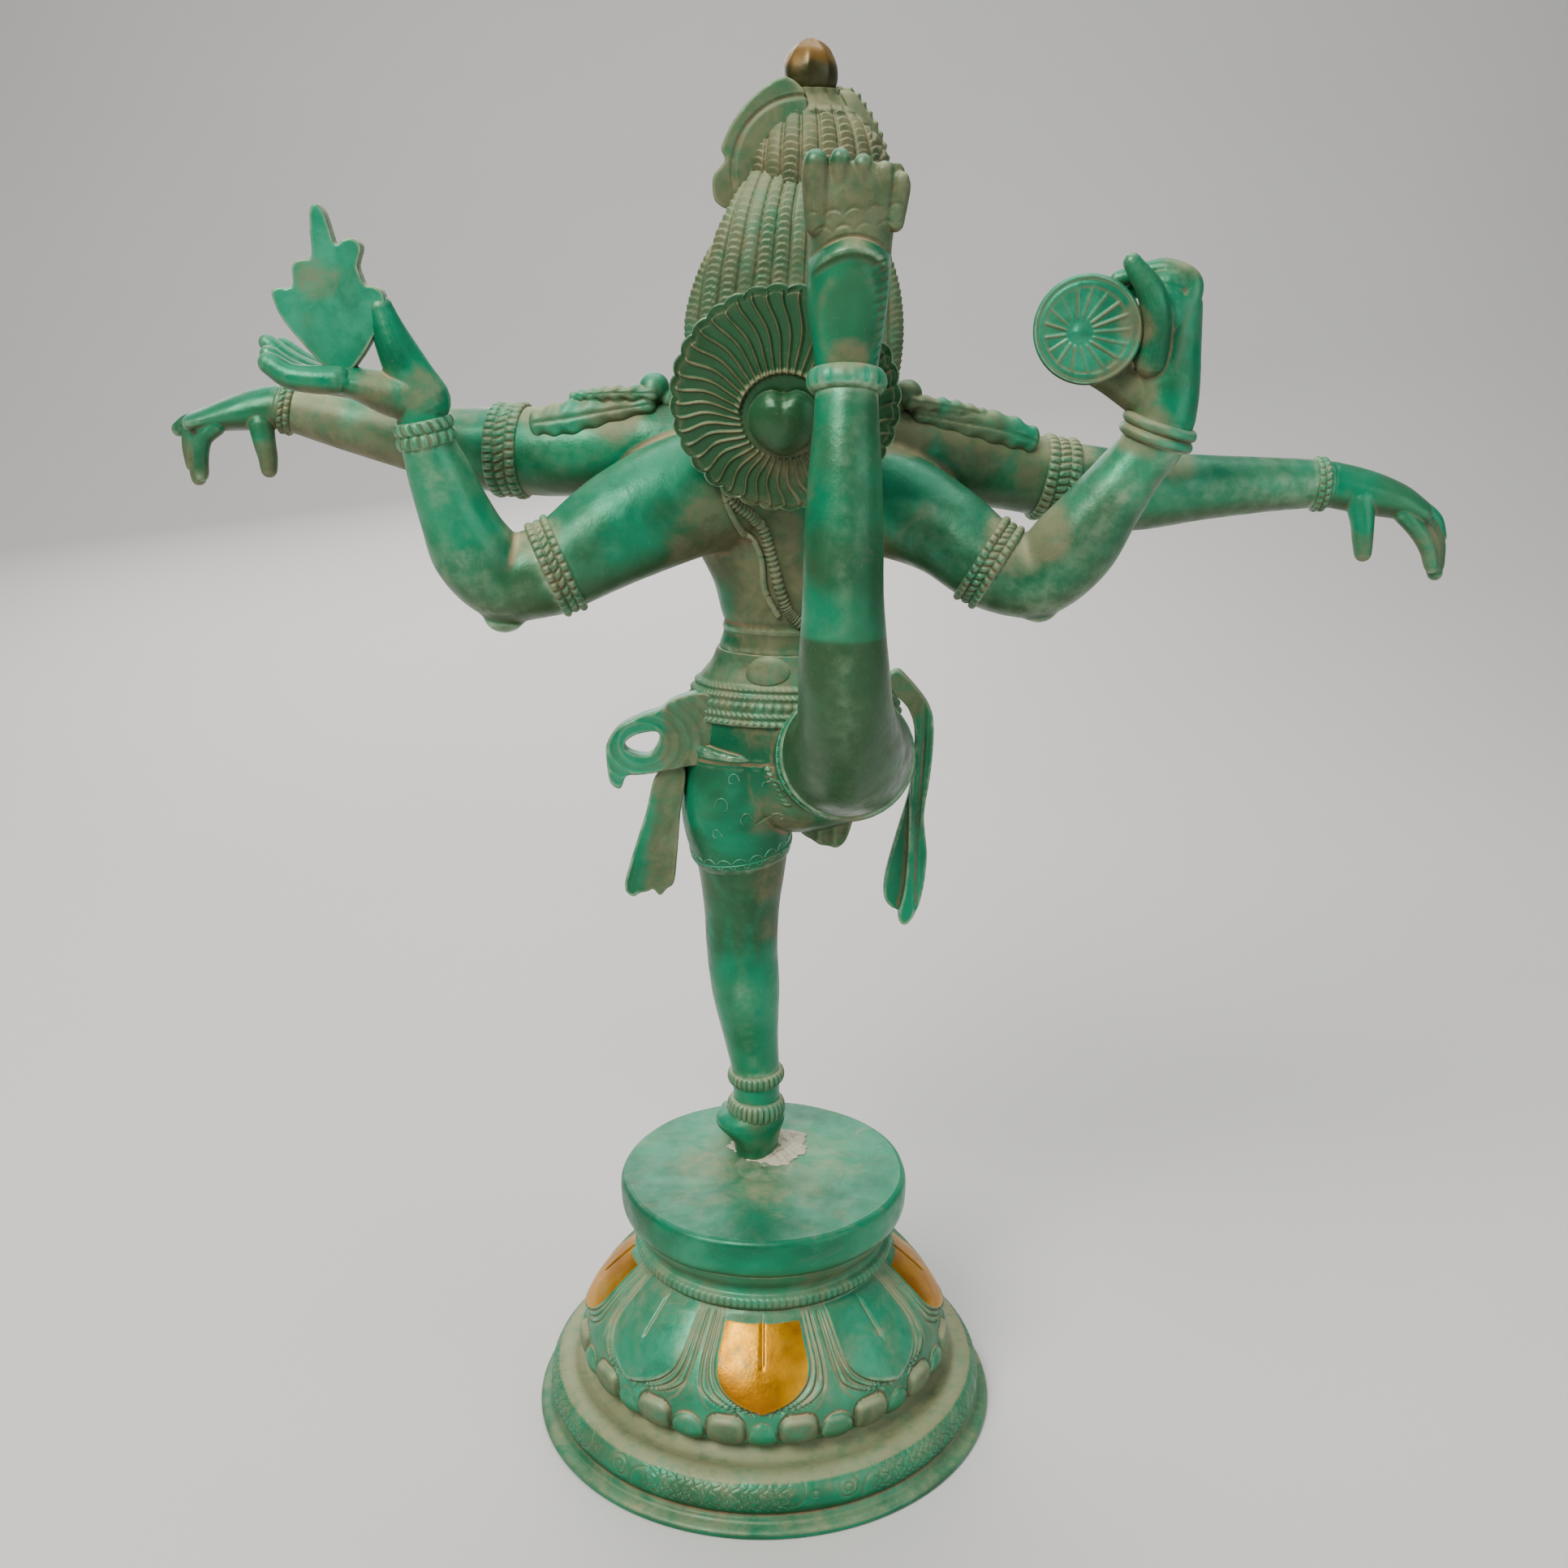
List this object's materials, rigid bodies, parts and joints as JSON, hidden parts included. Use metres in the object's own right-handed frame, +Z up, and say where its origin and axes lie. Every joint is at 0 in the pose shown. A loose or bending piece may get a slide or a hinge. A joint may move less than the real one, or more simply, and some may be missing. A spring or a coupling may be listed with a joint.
{
  "type": "dancing figure statue",
  "caption": "Brass statue of a dancing figure with arms outstretched and a leg raised behind its back, holding a drum and a flame, standing on a round lotus pedestal.",
  "frame": {"origin": "on the floor at the centre of the bounding box; the pedestal's axis is 17.2 mm towards +X from it", "axes": "+Z up; the figure faces -Y and its left hand points to +X; the raised leg is on the +Y side"},
  "size_m": [0.4033, 0.1553, 0.4356],
  "materials": {
    "patina": "brass under a lacquered verdigris patina, emerald to mint, with pale dust in the recesses",
    "dusty_patina": "the same patina under fine beige polishing dust, on the corded bands, hair and necklace",
    "aged_gilt": "brown-gold patina worn nearly to brass",
    "bare_brass": "bare turned brass inside the pedestal and behind the disc",
    "pale_braze": "matt pale braze and filler round the foot"
  },
  "bodies": {
    "root": {"back_hair": "dusty_patina", "crown_finial": "aged_gilt", "crown_side_lock": "patina", "earring_left": "patina", "earring_right": "patina", "foot_braze": "pale_braze", "foot_stud": "bare_brass", "front_left_armlet": "dusty_patina", "front_left_bracelet": "dusty_patina", "front_left_forearm": "patina", "front_left_hand": "patina", "front_right_armlet": "dusty_patina", "front_right_bracelet": "dusty_patina", "front_right_forearm": "patina", "front_right_hand": "patina", "hair_crown": "patina", "halo_boss": "patina", "halo_disc": "patina", "halo_pin": "bare_brass", "hand_drum": "patina", "hand_flame": "patina", "head": "patina", "hips_and_loincloth": "patina", "loincloth_flap": "patina", "necklace": "dusty_patina", "pedestal_cap": "patina", "pedestal_lotus": "patina", "pedestal_neck": "dusty_patina", "pedestal_rim": "patina", "raised_anklet": "dusty_patina", "raised_foot": "patina", "raised_leg": "patina", "rear_left_armlet": "dusty_patina", "rear_left_bracelet": "dusty_patina", "rear_left_forearm": "patina", "rear_left_hand": "patina", "rear_right_armlet": "dusty_patina", "rear_right_bracelet": "dusty_patina", "rear_right_forearm": "patina", "rear_right_hand": "patina", "sacred_thread": "patina", "sash_loop_left": "patina", "sash_tail_left": "patina", "sash_tails_right": "patina", "shoulder_tassel_left": "patina", "shoulder_tassel_right": "patina", "standing_ankle": "patina", "standing_anklet_lower": "dusty_patina", "standing_anklet_upper": "dusty_patina", "standing_foot": "patina", "standing_leg": "patina", "stud_nut": "bare_brass", "stud_washer": "bare_brass", "torso_and_shoulders": "patina", "waist_belt": "dusty_patina"}
  },
  "joints": []
}
